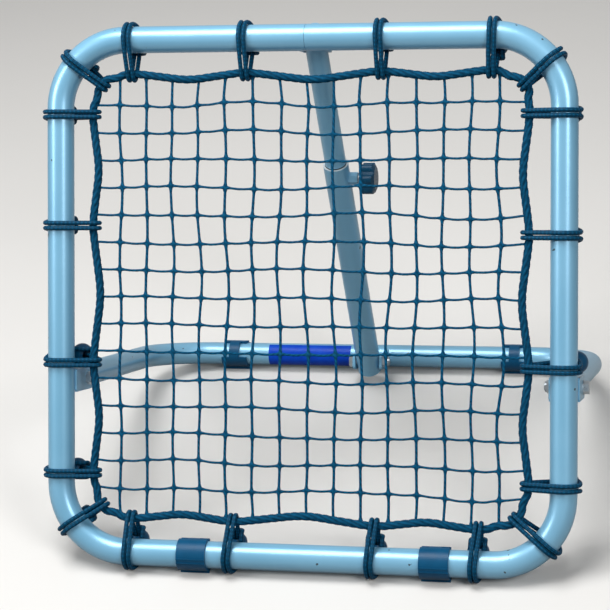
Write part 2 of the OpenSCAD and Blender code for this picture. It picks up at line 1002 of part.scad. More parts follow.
module blue_band() {
    color(royal_blue)
        on_leg()
            translate([(band_from + band_to) / 2, leg_reach, 0])
                rotate([90, 0, -90])
                    ring_part(
                        leg_r + seat_gap, leg_r + band_t, -75, 62, band_to - band_from
                    );
}

// ---- brace -----------------------------------------------------------------

module brace_outer_tube() {
    color(steel_blue)
        on_brace()
            difference() {
                translate([0, 0, -outer_tip])
                    linear_extrude(outer_len + outer_tip)
                        section(outer_r, outer_r - outer_wall);
                translate([-outer_d, 0, 0])
                    along_x()
                        cylinder(r = bore_r, h = 2 * outer_d);
                translate([0, 0, outer_len - clamp_down])
                    along_x()
                        cylinder(r = bore_r, h = outer_d);
            }
}

boss_out = outer_r + boss_len;
hub_from = boss_out + knob_gap;
knob_from = hub_from + hub_len;

module at_clamp() {
    on_brace()
        translate([0, 0, outer_len - clamp_down])
            along_x()
                children();
}

module clamp_boss() {
    color(steel_blue)
        difference() {
            at_clamp()
                difference() {
                    rotate([0, 0, 30])
                        cylinder(r = hex_af / sqrt(3), h = boss_out, $fn = 6);
                    cylinder(r = bore_r, h = 2 * boss_out);
                }
            on_brace()
                cylinder(r = outer_r + seat_gap, h = outer_len);
        }
}

module brace_inner_tube() {
    color(steel_blue)
        on_brace()
            translate([0, 0, brace_span])
                difference() {
                    translate([0, 0, -inner_len])
                        linear_extrude(inner_len + inner_tip)
                            section(inner_r, inner_r - inner_wall);
                    translate([-inner_d, 0, 0])
                        along_x()
                            cylinder(d = eye_d, h = 2 * inner_d);
                }
}

module clamp_screw() {
    color(zinc)
        at_clamp()
            translate([0, 0, inner_r + side_gap])
                cylinder(r = bolt_r, h = knob_from + knob_w / 2 - inner_r - side_gap);
}

module lobed_outline() {
    lobe_r = knob_d * 0.16;
    circle(knob_d * 0.40);
    for (i = [0:knob_lobes - 1])
        rotate(360 * i / knob_lobes)
            translate([knob_d / 2 - lobe_r, 0])
                circle(lobe_r);
}

// The knob's lobes are trimmed by a turned shape with a bevel at the hub's side
// and a slope twice as wide as it is deep on the outer face.
module clamp_knob() {
    knob_r = knob_d / 2;
    bevel = 1;
    color(dark_petrol)
        at_clamp()
            difference() {
                union() {
                    translate([0, 0, hub_from]) cylinder(d = hub_d, h = hub_len + 1);
                    translate([0, 0, knob_from])
                        intersection() {
                            linear_extrude(knob_w + knob_slope) lobed_outline();
                            rotate_extrude()
                                polygon([
                                    [0, 0],
                                    [knob_r - bevel, 0],
                                    [knob_r + bevel, 2 * bevel],
                                    [knob_r + bevel, knob_w - bevel / 2],
                                    [knob_r - 2 * knob_slope, knob_w + knob_slope],
                                    [0, knob_w + knob_slope]
                                ]);
                        }
                }
                cylinder(r = bore_r, h = knob_from + knob_w / 2 + 0.5);
            }
}

frame_tube();
joint_spigot();
left_pivot_bracket();
right_pivot_bracket();
top_bracket();
pivot_bolts();
pivot_nuts();
pivot_washers();
top_bolt();
top_nut();
net();
border_rope();
top_elastics();
bottom_elastics();
left_elastics();
right_elastics();
corner_elastics();
top_balls();
bottom_balls();
left_balls();
right_balls();
corner_balls();
front_left_foot_clip();
front_right_foot_clip();
rear_leg();
brace_foot_bracket();
foot_bolt();
foot_nut();
rear_left_foot_clip();
rear_right_foot_clip();
blue_band();
brace_outer_tube();
clamp_boss();
brace_inner_tube();
clamp_screw();
clamp_knob();
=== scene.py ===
# %% [markdown]
# # A pitch back rebounder
# A square of blue steel tube leans back on a U-shaped leg and holds a net on
# twenty elastic loops, so that a ball thrown at it comes back. The steel parts,
# the balls and the feet come from the CAD frame and get a finish here. The net,
# its rope and the elastic cord are soft, so they are made again in this lesson
# with the shape that twine, rope and stretched elastic really have.

import math

import bpy
import numpy as np
from mathutils import Matrix, Vector


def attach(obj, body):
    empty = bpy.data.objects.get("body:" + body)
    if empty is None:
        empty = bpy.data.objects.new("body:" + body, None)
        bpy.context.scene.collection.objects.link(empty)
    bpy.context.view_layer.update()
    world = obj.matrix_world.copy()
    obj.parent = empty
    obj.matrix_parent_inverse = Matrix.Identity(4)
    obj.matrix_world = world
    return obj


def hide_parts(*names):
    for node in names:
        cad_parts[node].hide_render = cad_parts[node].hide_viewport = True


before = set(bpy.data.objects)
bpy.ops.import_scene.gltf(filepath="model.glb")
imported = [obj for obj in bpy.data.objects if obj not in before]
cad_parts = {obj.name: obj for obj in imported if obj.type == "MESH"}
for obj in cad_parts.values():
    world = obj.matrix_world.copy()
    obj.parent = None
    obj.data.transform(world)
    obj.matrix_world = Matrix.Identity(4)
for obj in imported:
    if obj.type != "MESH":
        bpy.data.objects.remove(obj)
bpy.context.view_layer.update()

# %% [markdown]
# ## The space of the leaning frame
# The frame was designed upright: X to the right, Y to the back, Z up the frame
# from the middle of the bottom tube, in millimetres. Net and loops are easiest
# to work out there too. They could be leaned back as objects at the end, but a
# finished piece has to sit at the origin, unturned. So one matrix leans their
# points back, sets them on the floor and turns millimetres into metres.

# %% Sizes of the steel, in millimetres
TUBE_R = 15.0
SIDE_X = 285.0            # centre line of a side tube
TOP_Z = 576.0             # centre line of the top tube
MID_Z = TOP_Z / 2
CORNER_BEND = 77.0
LEG_R = 14.0
PIVOT_BACK, PIVOT_UP = 40.0, 192.0
LEG_REACH, LEG_RISE = 343.6, math.radians(0.77)
TREAD_DROP = 5.9          # from the underside of a tube to the floor
FOOT_WALL = 3.0
print("frame", 2 * (SIDE_X + TUBE_R), "mm wide and", TOP_Z + 2 * TUBE_R, "mm high")

# %% Sizes of the soft parts, in millimetres
CORD_R, ROPE_R, TWINE_R, BALL_R = 2.5, 4.5, 1.5, 12.5
LOOP_GAP = 0.4            # between a loop and what it goes round
print("elastic", 2 * CORD_R, "mm, rope", 2 * ROPE_R, "mm and twine", 2 * TWINE_R, "mm thick")

# %% How the frame stands
# The line under the front and the rear tread is the floor, which gives the lean.
cross_y = PIVOT_BACK + LEG_REACH * math.cos(LEG_RISE)
cross_z = PIVOT_UP + LEG_REACH * math.sin(LEG_RISE)
lean = math.atan2(cross_z, cross_y) + math.asin((TUBE_R - LEG_R) / math.hypot(cross_y, cross_z))
rear_edge = cross_y * math.cos(lean) + cross_z * math.sin(lean) + LEG_R + FOOT_WALL
stand_y = (TUBE_R + LOOP_GAP + 2 * CORD_R - rear_edge) / 2
leaning = Matrix.Rotation(-lean, 4, "X")
stand = (
    Matrix.Translation(Vector((0, stand_y, TUBE_R + TREAD_DROP)) / 1000)
    @ leaning
    @ Matrix.Scale(0.001, 4)
)
on_leg = (
    stand @ Matrix.Translation((0, PIVOT_BACK, PIVOT_UP)) @ Matrix.Rotation(LEG_RISE, 4, "X")
)
print("lean", round(math.degrees(lean), 3), "degrees, front foot at y", round(stand_y, 2), "mm")


def standing(points):
    """Upright points in millimetres, as places on the leaning frame in metres."""
    points = np.asarray(points, float)
    return points @ np.array(stand.to_3x3()).T + np.array(stand.translation)


# %% [markdown]
# ## The camera
# It looks at the frame's face from a little right of the middle, with a long
# lens. Its place and its three directions are given in the frame's upright
# space, because there the view is almost square-on, and are leaned back with it.

# %% Camera
LENS = 120.805                       # in millimetres, as is the sensor's width
SENSOR = 36
SHIFT_X, SHIFT_Y = -0.1, -0.09719    # shares of the picture's width
CAMERA_PLACE = (515.25, -2201.2, 396.47)
CAMERA_RIGHT = (0.97989, 0.199534, 0.001112)
CAMERA_UP = (-0.005502, 0.021451, 0.999755)
CAMERA_VIEW = (-0.199462, 0.979656, -0.022118)

camera_data = bpy.data.cameras.new("camera")
camera_data.sensor_width = SENSOR
camera_data.lens = LENS
camera_data.shift_x = SHIFT_X
camera_data.shift_y = SHIFT_Y
camera_data.clip_end = 50
camera = bpy.data.objects.new("camera", camera_data)
bpy.context.scene.collection.objects.link(camera)
bpy.context.scene.camera = camera

right, up, view = (leaning @ Vector(way) for way in (CAMERA_RIGHT, CAMERA_UP, CAMERA_VIEW))
turned = Matrix((right, up, -view)).transposed().to_4x4()
camera.matrix_world = Matrix.Translation(stand @ Vector(CAMERA_PLACE)) @ turned
print("camera at", [round(c, 3) for c in camera.matrix_world.translation])

# %% [markdown]
# ## Building a material
# A material is a small network of nodes, which could be drawn by hand in the
# shader editor. In a script four helpers keep it short: one turns a hex colour
# into the shader's linear numbers, one fills a node's inputs, one adds any node
# with its settings, and one starts a material with its shader.

# %% Helpers for materials


def linear(hex_colour):
    """An sRGB hex colour as the linear red, green, blue and alpha of a shader."""
    parts = [int(hex_colour[i:i + 2], 16) / 255 for i in (1, 3, 5)]
    return [p / 12.92 if p <= 0.04045 else ((p + 0.055) / 1.055) ** 2.4 for p in parts] + [1.0]


def give(tree, node, inputs):
    """Fills a node's inputs: a socket is linked, any other value is written in."""
    for key, value in inputs.items():
        if isinstance(value, bpy.types.NodeSocket):
            tree.links.new(value, node.inputs[key])
        else:
            node.inputs[key].default_value = value


def add(tree, kind, inputs=None, **settings):
    """Adds a node with its settings and fills its inputs."""
    node = tree.nodes.new(kind)
    for name, value in settings.items():
        setattr(node, name, value)
    give(tree, node, inputs or {})
    return node


def start_material(name):
    """A new material: its node tree, its shader and the object's coordinates."""
    made = bpy.data.materials.new(name)
    made.use_nodes = True
    tree = made.node_tree
    tree.nodes.clear()
    shader = add(tree, "ShaderNodeBsdfPrincipled")
    add(tree, "ShaderNodeOutputMaterial", {"Surface": shader.outputs["BSDF"]})
    return made, tree, shader, add(tree, "ShaderNodeTexCoord").outputs["Object"]


# %% [markdown]
# ## Floor and light
# The object stands on a matt studio floor in a pale surrounding. More light
# would make them pale too, but it would wash out the dark cords. So the paleness
# lies in their colour, and only the camera sees it in full. Shine sees it at
# about half strength. For the light that it throws up on to the object the floor
# is dark grey, so that the undersides of the tubes stay in shade.

# %% Which rays see the paleness


def pale_rays(tree):
    """A mask for the camera's own rays, and one for those of shine and glass."""
    ray = add(tree, "ShaderNodeLightPath")
    shine = add(tree, "ShaderNodeMath", {
        0: ray.outputs["Is Glossy Ray"], 1: ray.outputs["Is Transmission Ray"]
    }, operation="MAXIMUM")
    return ray.outputs["Is Camera Ray"], shine.outputs[0]


# %% Floor
# Painted and matt, with a very faint unevenness
FLOOR_HALF = 8.0      # half its width, in metres
floor_paint, tree, shader, where = start_material("studio_floor_paint")
mottle = add(tree, "ShaderNodeTexNoise", {"Vector": where, "Scale": 3.0, "Detail": 3.0})
pale = add(tree, "ShaderNodeMix", {
    "Factor": mottle.outputs["Fac"], 6: linear("#E4E2DE"), 7: linear("#E9E7E4")
}, data_type="RGBA")
from_camera, from_shine = pale_rays(tree)
half_seen = add(tree, "ShaderNodeMath", {0: from_shine, 1: 0.5}, operation="MULTIPLY")
seen = add(tree, "ShaderNodeMath", {0: from_camera, 1: half_seen.outputs[0]}, operation="MAXIMUM")
colour = add(tree, "ShaderNodeMix", {
    "Factor": seen.outputs[0], 6: linear("#504E4B"), 7: pale.outputs[2]
}, data_type="RGBA")
give(tree, shader, {"Base Color": colour.outputs[2], "Roughness": 0.9})

floor_mesh = bpy.data.meshes.new("floor")
floor_mesh.from_pydata(
    [(x * FLOOR_HALF, y * FLOOR_HALF, 0) for x, y in ((-1, -1), (1, -1), (1, 1), (-1, 1))],
    [], [(0, 1, 2, 3)],
)
floor = bpy.data.objects.new("floor", floor_mesh)
floor_mesh.materials.append(floor_paint)
bpy.context.scene.collection.objects.link(floor)
print("floor", 2 * FLOOR_HALF, "m wide")

# %% Surrounding
# White to the camera, a dim even light on the object, and in between for shine
AMBIENT, SHINE = 0.18, 0.45
world = bpy.data.worlds.new("studio")
bpy.context.scene.world = world
world.use_nodes = True
tree = world.node_tree
tree.nodes.clear()
from_camera, from_shine = pale_rays(tree)
dim = add(tree, "ShaderNodeMath", {
    0: from_shine, 1: SHINE - AMBIENT, 2: AMBIENT
}, operation="MULTIPLY_ADD")
strength = add(tree, "ShaderNodeMath", {0: from_camera, 1: dim.outputs[0]}, operation="MAXIMUM")
air = add(tree, "ShaderNodeBackground", {
    "Color": linear("#F4F6F8"), "Strength": strength.outputs[0]
})
add(tree, "ShaderNodeOutputWorld", {"Surface": air.outputs["Background"]})
print("surrounding", AMBIENT, "for light and", SHINE, "for shine")

# %% [markdown]
# ## Lamps
# Soft boxes, as for any shiny round thing: a wide lamp draws a wide highlight
# along a tube, where a small one would draw a thin hard line. The one overhead
# lights the tops of the level tubes. The two in front, left and right, draw the
# two bands of light on each upright and open the shadows between the cords.

# %% Lamps
LIT_PLACE = (0, 0, 0.25)


def soft_lamp(name, place, width, power):
    """A square lamp, so many metres wide, at place and turned to the object."""
    data = bpy.data.lights.new(name, "AREA")
    data.shape = "SQUARE"
    data.size = width
    data.energy = power
    lamp = bpy.data.objects.new(name, data)
    bpy.context.scene.collection.objects.link(lamp)
    lamp.location = place
    way = Vector(LIT_PLACE) - Vector(place)
    lamp.rotation_euler = way.to_track_quat("-Z", "Y").to_euler()


soft_lamp("overhead", (-0.5, -0.3, 2.6), 1.3, 51)
soft_lamp("left_fill", (-2.27, -1.31, 1.7), 0.9, 30)
soft_lamp("right_fill", (1.76, -1.76, 1.93), 0.9, 30)
bpy.context.scene.view_settings.view_transform = "Standard"

# %% [markdown]
# ## Finishes of the hard parts
# Every material reads the object's own coordinates, so its pattern stays put
# when a part moves. A picture of a finish would need a UV map on every part and
# would blur up close. Noise nodes need neither map nor picture.

# %% [markdown]
# ### Powder coat
# The tubes wear a pale blue metallic powder coat: plastic powder with fine
# aluminium flakes, baked on. Flakes give a soft broad shine, the baked skin a
# sharper one over it, and its surface is faintly uneven like orange peel. Knocks
# on the grass have left a few dark chips. At the brace's mouth the outer tube's
# rim is painted pale, as a painted highlight, and the tube that slides in it has a
# ring of painted shade there. The gap between them is too thin to see, so it
# shows by this painted highlight and shade.

# %% The mouth of the brace's outer tube
TOP_PIVOT_BACK = 42.0
FOOT_PIVOT_AHEAD, FOOT_PIVOT_DROP = 37.0, 4.0
OUTER_LENGTH = 316.0      # of the outer tube, up from its foot bolt
foot_bolt = on_leg @ Vector((0, LEG_REACH - FOOT_PIVOT_AHEAD, -FOOT_PIVOT_DROP))
top_bolt = stand @ Vector((0, TOP_PIVOT_BACK, TOP_Z))
brace_way = (top_bolt - foot_bolt).normalized()
mouth = brace_way.dot(foot_bolt) + OUTER_LENGTH / 1000
print("brace's way", [round(c, 5) for c in brace_way], "and its mouth at", round(mouth, 5), "m")

# %% Powder-coated steel


def powder_coated(name, painted_rim_highlight=False, painted_gap_shade=False):
    """Powder coat, with a painted highlight on the brace's mouth or painted shade inside it."""
    made, tree, shader, where = start_material(name)
    # Slow change of tone, patches of about 100 mm
    cloud = add(tree, "ShaderNodeTexNoise", {"Vector": where, "Scale": 10.0, "Detail": 2.0})
    paint = add(tree, "ShaderNodeMix", {
        "Factor": cloud.outputs["Fac"], 6: linear("#6EB0D3"), 7: linear("#90CAE9")
    }, data_type="RGBA")
    # Chips 1 to 3 mm across, where a fine noise has its rare peaks
    knocks = add(tree, "ShaderNodeTexNoise", {"Vector": where, "Scale": 95.0, "Detail": 1.5})
    marks = [(add(tree, "ShaderNodeMapRange", {
        "Value": knocks.outputs["Fac"], "From Min": 0.755, "From Max": 0.77
    }).outputs["Result"], "#2F4552")]
    along = add(tree, "ShaderNodeVectorMath", {0: where, 1: brace_way}, operation="DOT_PRODUCT")
    if painted_rim_highlight:
        # The end of the tube painted pale, as a painted highlight on its lit rim
        marks.append((add(tree, "ShaderNodeMapRange", {
            "Value": along.outputs["Value"], "From Min": mouth - 0.0006, "From Max": mouth - 0.0003
        }).outputs["Result"], "#E4F0F5"))
    if painted_gap_shade:
        # A ring of painted shade, 5 mm wide, where the sliding tube lies in the gap at the mouth
        marks.append((add(tree, "ShaderNodeMath", {
            0: along.outputs["Value"], 1: mouth - 0.0011, 2: 0.0025
        }, operation="COMPARE").outputs[0], "#0B2634"))
    for mask, mark_colour in marks:
        paint = add(tree, "ShaderNodeMix", {
            "Factor": mask, 6: paint.outputs[2], 7: linear(mark_colour)
        }, data_type="RGBA")
    # Orange peel, really 1.8 mm apart: coarsened to 5 mm, so that it holds at a distance
    peel = add(tree, "ShaderNodeTexNoise", {"Vector": where, "Scale": 200.0, "Detail": 1.0})
    skin = add(tree, "ShaderNodeBump", {
        "Height": peel.outputs["Fac"], "Strength": 0.12, "Distance": 0.0004
    })
    rubbed = add(tree, "ShaderNodeMapRange", {
        "Value": cloud.outputs["Fac"], "To Min": 0.3, "To Max": 0.4
    })
    give(tree, shader, {
        "Base Color": paint.outputs[2], "Normal": skin.outputs["Normal"],
        "Roughness": rubbed.outputs["Result"], "Metallic": 0.25, "Specular IOR Level": 0.8,
        "Coat Weight": 0.45, "Coat Roughness": 0.25,
    })
    return made


powder_coat = powder_coated("powder_coated_steel")
# The brace's outer tube, with a painted highlight on the rim of its mouth
outer_coat = powder_coated("powder_coated_tube_with_cut_edge", painted_rim_highlight=True)
# The brace's inner tube, with a ring of painted shade where it enters the mouth
inner_coat = powder_coated("powder_coated_tube_with_grit_ring", painted_gap_shade=True)
print("powder coats", [m.name for m in (powder_coat, outer_coat, inner_coat)])

# %% [markdown]
# ### Zinc plate
# Bolts, nuts and washers are bright zinc-plated steel: a true metal, silvery,
# a little cloudy where the plating dried, with fine turning marks.

# %% Zinc-plated steel
zinc_plate, tree, shader, where = start_material("zinc_plated_steel")
cloud = add(tree, "ShaderNodeTexNoise", {"Vector": where, "Scale": 180.0, "Detail": 3.0})
tone = add(tree, "ShaderNodeMix", {
    "Factor": cloud.outputs["Fac"], 6: linear("#99A3A9"), 7: linear("#DDE2E6")
}, data_type="RGBA")
haze = add(tree, "ShaderNodeMapRange", {
    "Value": cloud.outputs["Fac"], "To Min": 0.2, "To Max": 0.42
})
marks = add(tree, "ShaderNodeTexNoise", {"Vector": where, "Scale": 1400.0, "Detail": 1.0})
skin = add(tree, "ShaderNodeBump", {
    "Height": marks.outputs["Fac"], "Strength": 0.1, "Distance": 0.0002
})
give(tree, shader, {
    "Base Color": tone.outputs[2], "Roughness": haze.outputs["Result"],
    "Normal": skin.outputs["Normal"], "Metallic": 1.0,
})
print("metal", zinc_plate.name)

# %% [markdown]
# ### Moulded plastics
# Balls, feet and knob are injection-moulded plastic in three dark blues. A
# moulding has one even colour, a skin with a very fine grain from the polished
# or sparked steel of the mould, and some dust that dulls its shine. The three
# differ only in colour, shine and grain, so one function makes them all.

# %% Moulded plastics


def moulded(name, colour, worn_colour, roughness, grain):
    """A moulded plastic with a grain of so many millimetres in its skin."""
    made, tree, shader, where = start_material(name)
    dust = add(tree, "ShaderNodeTexNoise", {"Vector": where, "Scale": 70.0, "Detail": 4.0})
    tone = add(tree, "ShaderNodeMix", {
        "Factor": dust.outputs["Fac"], 6: linear(colour), 7: linear(worn_colour)
    }, data_type="RGBA")
    dulled = add(tree, "ShaderNodeMapRange", {
        "Value": dust.outputs["Fac"], "To Min": roughness - 0.06, "To Max": roughness + 0.1
    })
    texture = add(tree, "ShaderNodeTexNoise", {
        "Vector": where, "Scale": 1000 / grain, "Detail": 1.0
    })
    skin = add(tree, "ShaderNodeBump", {
        "Height": texture.outputs["Fac"], "Strength": 0.15, "Distance": 0.0002
    })
    give(tree, shader, {
        "Base Color": tone.outputs[2], "Roughness": dulled.outputs["Result"],
        "Normal": skin.outputs["Normal"], "Specular IOR Level": 0.25,
    })
    return made


ball_plastic = moulded("polypropylene_moulded_ball", "#024064", "#08567C", 0.28, 1.1)
foot_plastic = moulded("soft_moulded_foot", "#014266", "#045780", 0.36, 0.9)
knob_plastic = moulded("nylon_moulded_knob", "#023852", "#084E70", 0.24, 0.8)
print("plastics", [m.name for m in (ball_plastic, foot_plastic, knob_plastic)])

# %% [markdown]
# ### Blue film
# A band of royal blue self-adhesive film on the cross tube: a glossy skin with
# a few dull rubbed places.

# %% Film
film, tree, shader, where = start_material("vinyl_self_adhesive_film")
rub = add(tree, "ShaderNodeTexNoise", {"Vector": where, "Scale": 120.0, "Detail": 4.0})
tone = add(tree, "ShaderNodeMix", {
    "Factor": rub.outputs["Fac"], 6: linear("#0634B4"), 7: linear("#0F56D0")
}, data_type="RGBA")
dulled = add(tree, "ShaderNodeMapRange", {
    "Value": rub.outputs["Fac"], "To Min": 0.2, "To Max": 0.5
})
give(tree, shader, {
    "Base Color": tone.outputs[2], "Roughness": dulled.outputs["Result"],
    "Specular IOR Level": 0.15,
})
print("film", film.name)

# %% [markdown]
# ### Which part wears which finish
# Each part comes from the CAD with a plain colour. Only the material in its slot
# is changed and its mesh is left alone, so the part keeps its size and its place.

# %% Put the finishes on the parts
ZINC = ["pivot_bolts", "pivot_nuts", "pivot_washers", "top_bolt", "top_nut", "foot_bolt",
        "foot_nut", "clamp_screw", "joint_spigot"]
BALLS = ["top_balls", "bottom_balls", "left_balls", "right_balls", "corner_balls"]
FEET = ["front_left_foot_clip", "front_right_foot_clip", "rear_left_foot_clip",
        "rear_right_foot_clip"]
STEEL = ["frame_tube", "left_pivot_bracket", "right_pivot_bracket", "top_bracket", "rear_leg",
         "brace_foot_bracket", "clamp_boss"]
for material, names in (
    (zinc_plate, ZINC), (ball_plastic, BALLS), (foot_plastic, FEET), (powder_coat, STEEL),
    (knob_plastic, ["clamp_knob"]), (film, ["blue_band"]),
    (outer_coat, ["brace_outer_tube"]), (inner_coat, ["brace_inner_tube"]),
):
    for name in names:
        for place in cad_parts[name].material_slots:
            place.material = material
    print(material.name, "on", len(names), "parts")

# %% [markdown]
# ## Finishes of the cords
# These read the cord's own UV map: U goes once round the cord, V is the length
# along it in metres. A wave of U and V together winds round the cord as its
# yarns do, which a pattern in the object's coordinates could not.

# %% Yarns


def yarn_wave(tree, winds, pitch):
    """So many yarns round the cord, one turn in pitch metres, or back if minus."""
    uv = add(tree, "ShaderNodeSeparateXYZ", {0: add(tree, "ShaderNodeTexCoord").outputs["UV"]})
    round_it = add(tree, "ShaderNodeMath", {
        0: uv.outputs["X"], 1: winds * math.tau
    }, operation="MULTIPLY")
    turned = add(tree, "ShaderNodeMath", {
        0: uv.outputs["Y"], 1: math.tau / pitch, 2: round_it.outputs[0]
    }, operation="MULTIPLY_ADD")
    return add(tree, "ShaderNodeMath", {0: turned.outputs[0]}, operation="SINE").outputs[0]


# %% [markdown]
# ### Twisted twine and rope
# Net and rope are polyester fibre: dark petrol blue and matt, with a slightly
# lighter or darker yarn here and there. The yarns cross a strand slantwise, and
# the colour follows them as painted light: a painted highlight on each crest and
# painted shade in each groove.

# %% Polyester twine and rope


def twisted(name, dark, light, winds, pitch):
    """Twisted fibre: so many yarns round the cord, one turn in pitch metres."""
    made, tree, shader, where = start_material(name)
    fleck = add(tree, "ShaderNodeTexNoise", {"Vector": where, "Scale": 260.0, "Detail": 3.0})
    # Random flecks of tone, plus the yarns' relief as painted highlight on the crests and painted
    # shade in the grooves
    mixed = add(tree, "ShaderNodeMath", {
        0: yarn_wave(tree, winds, pitch), 1: 0.3, 2: fleck.outputs["Fac"]
    }, operation="MULTIPLY_ADD")
    tone = add(tree, "ShaderNodeMix", {
        "Factor": mixed.outputs[0], 6: linear(dark), 7: linear(light)
    }, data_type="RGBA", clamp_factor=True)
    skin = add(tree, "ShaderNodeBump", {
        "Height": mixed.outputs[0], "Strength": 0.5, "Distance": 0.0004
    })
    give(tree, shader, {
        "Base Color": tone.outputs[2], "Normal": skin.outputs["Normal"],
        "Roughness": 0.8, "Specular IOR Level": 0.1,
    })
    return made


# Yarns of 1 mm are drawn 2 mm wide, because finer ones would not show.
net_twine = twisted("polyester_twisted_twine", "#01324C", "#075C84", 2, 0.006)
edge_rope = twisted("polyester_laid_rope", "#012E46", "#07557A", 6, 0.007)
print("twisted fibres", [m.name for m in (net_twine, edge_rope)])

# %% [markdown]
# ### Braided elastic
# The loops are rubber threads in a braided polyester sleeve. The braid's two
# sets of yarns wind against each other, so their crests meet in small diamonds.
# These are painted a lighter blue, as a painted highlight, and the hollows
# between them darker, as painted shade.

# %% Braided elastic
# The yarns' pitch is 9 mm along the cord, coarser than the real 5 mm, to show.
BRAID_YARNS, BRAID_PITCH = 3, 0.009
elastic_braid, tree, shader, where = start_material("polyester_braided_elastic")
diamonds = add(tree, "ShaderNodeMath", {
    0: yarn_wave(tree, BRAID_YARNS, BRAID_PITCH), 1: yarn_wave(tree, BRAID_YARNS, -BRAID_PITCH)
}, operation="MULTIPLY")
# Painted light: the diamonds' crests lighter as a painted highlight, the hollows darker as painted
# shade
painted_crest_light = add(tree, "ShaderNodeMapRange", {
    "Value": diamonds.outputs[0], "From Min": 0.1, "From Max": 0.8
})
tone = add(tree, "ShaderNodeMix", {
    "Factor": painted_crest_light.outputs["Result"], 6: linear("#013A56"), 7: linear("#055A80")
}, data_type="RGBA")
skin = add(tree, "ShaderNodeBump", {
    "Height": diamonds.outputs[0], "Strength": 0.22, "Distance": 0.0004
})
give(tree, shader, {
    "Base Color": tone.outputs[2], "Normal": skin.outputs["Normal"],
    "Roughness": 0.5, "Specular IOR Level": 0.12,
})
print("braid", elastic_braid.name)

# %% [markdown]
# ## A cord along a path
# Twine, rope, elastic and weld beads are all one thing: a round or lobed section
# that follows a line. A curve object with a bevel would do for a plain cord, but
# gives no UV map in metres for the yarns to follow. So a Geometry Nodes tree does
# this once for all of them. It takes a mesh of bare edges, makes it a curve,
# spaces its points evenly, turns the section as it goes, sweeps it and writes the
# UV map. The radius comes from the line's own points, so that a twine may swell
# at its knots.

# %% The tree's inputs
sweep = bpy.data.node_groups.new("cord_along_path", "GeometryNodeTree")
sweep.interface.new_socket("Geometry", in_out="INPUT", socket_type="NodeSocketGeometry")
for name, kind, value in (
    ("Step", "NodeSocketFloat", 0.0025),     # metres between two rings
    ("Sides", "NodeSocketInt", 12),
    ("Strands", "NodeSocketFloat", 0.0),
    ("Groove", "NodeSocketFloat", 0.0),      # its depth, as a share of the radius
    ("Turns", "NodeSocketFloat", 0.0),       # of the strands, on the whole line
):
    sweep.interface.new_socket(name, in_out="INPUT", socket_type=kind).default_value = value
sweep.interface.new_socket("Material", in_out="INPUT", socket_type="NodeSocketMaterial")
sweep.interface.new_socket("Geometry", in_out="OUTPUT", socket_type="NodeSocketGeometry")
given = add(sweep, "NodeGroupInput")

# %% Its line
line = add(sweep, "GeometryNodeMeshToCurve", {"Mesh": given.outputs["Geometry"]})
even = add(sweep, "GeometryNodeResampleCurve", {
    "Curve": line.outputs["Curve"], "Length": given.outputs["Step"]
}, mode="LENGTH")
parameter = add(sweep, "GeometryNodeSplineParameter")
turn = add(sweep, "ShaderNodeMath", {
    0: parameter.outputs["Factor"], 1: given.outputs["Turns"]
}, operation="MULTIPLY")
tilt = add(sweep, "ShaderNodeMath", {0: turn.outputs[0], 1: math.tau}, operation="MULTIPLY")
tilted = add(sweep, "GeometryNodeSetCurveTilt", {
    "Curve": even.outputs["Curve"], "Tilt": tilt.outputs[0]
})
lengthwise = add(sweep, "GeometryNodeCaptureAttribute", {"Geometry": tilted.outputs["Curve"]})
lengthwise.capture_items.new("FLOAT", "Length")
give(sweep, lengthwise, {"Length": parameter.outputs["Length"]})

# %% Its section
# A circle, or with a groove the outline of two or more strands laid together.
circle = add(sweep, "GeometryNodeCurvePrimitiveCircle", {
    "Resolution": given.outputs["Sides"], "Radius": 1.0
})
section_at = add(sweep, "GeometryNodeSplineParameter")
around = add(sweep, "GeometryNodeCaptureAttribute", {"Geometry": circle.outputs["Curve"]})
around.capture_items.new("FLOAT", "Around")
give(sweep, around, {"Around": section_at.outputs["Factor"]})
angle = add(sweep, "ShaderNodeMath", {
    0: around.outputs["Around"], 1: given.outputs["Strands"]
}, operation="MULTIPLY")
angle = add(sweep, "ShaderNodeMath", {0: angle.outputs[0], 1: math.pi}, operation="MULTIPLY")
crest = add(sweep, "ShaderNodeMath", {0: angle.outputs[0]}, operation="COSINE")
crest = add(sweep, "ShaderNodeMath", {0: crest.outputs[0]}, operation="ABSOLUTE")
hollow = add(sweep, "ShaderNodeMath", {0: 1.0, 1: crest.outputs[0]}, operation="SUBTRACT")
hollow = add(sweep, "ShaderNodeMath", {
    0: hollow.outputs[0], 1: given.outputs["Groove"]
}, operation="MULTIPLY")
size = add(sweep, "ShaderNodeMath", {0: 1.0, 1: hollow.outputs[0]}, operation="SUBTRACT")
outward = add(sweep, "ShaderNodeVectorMath", {
    0: add(sweep, "GeometryNodeInputPosition").outputs["Position"], "Scale": size.outputs[0]
}, operation="SCALE")
section = add(sweep, "GeometryNodeSetPosition", {
    "Geometry": around.outputs["Geometry"], "Position": outward.outputs["Vector"]
})

# %% Its skin
tube = add(sweep, "GeometryNodeCurveToMesh", {
    "Curve": lengthwise.outputs["Geometry"], "Profile Curve": section.outputs["Geometry"],
    "Scale": add(sweep, "GeometryNodeInputRadius").outputs["Radius"], "Fill Caps": True
})
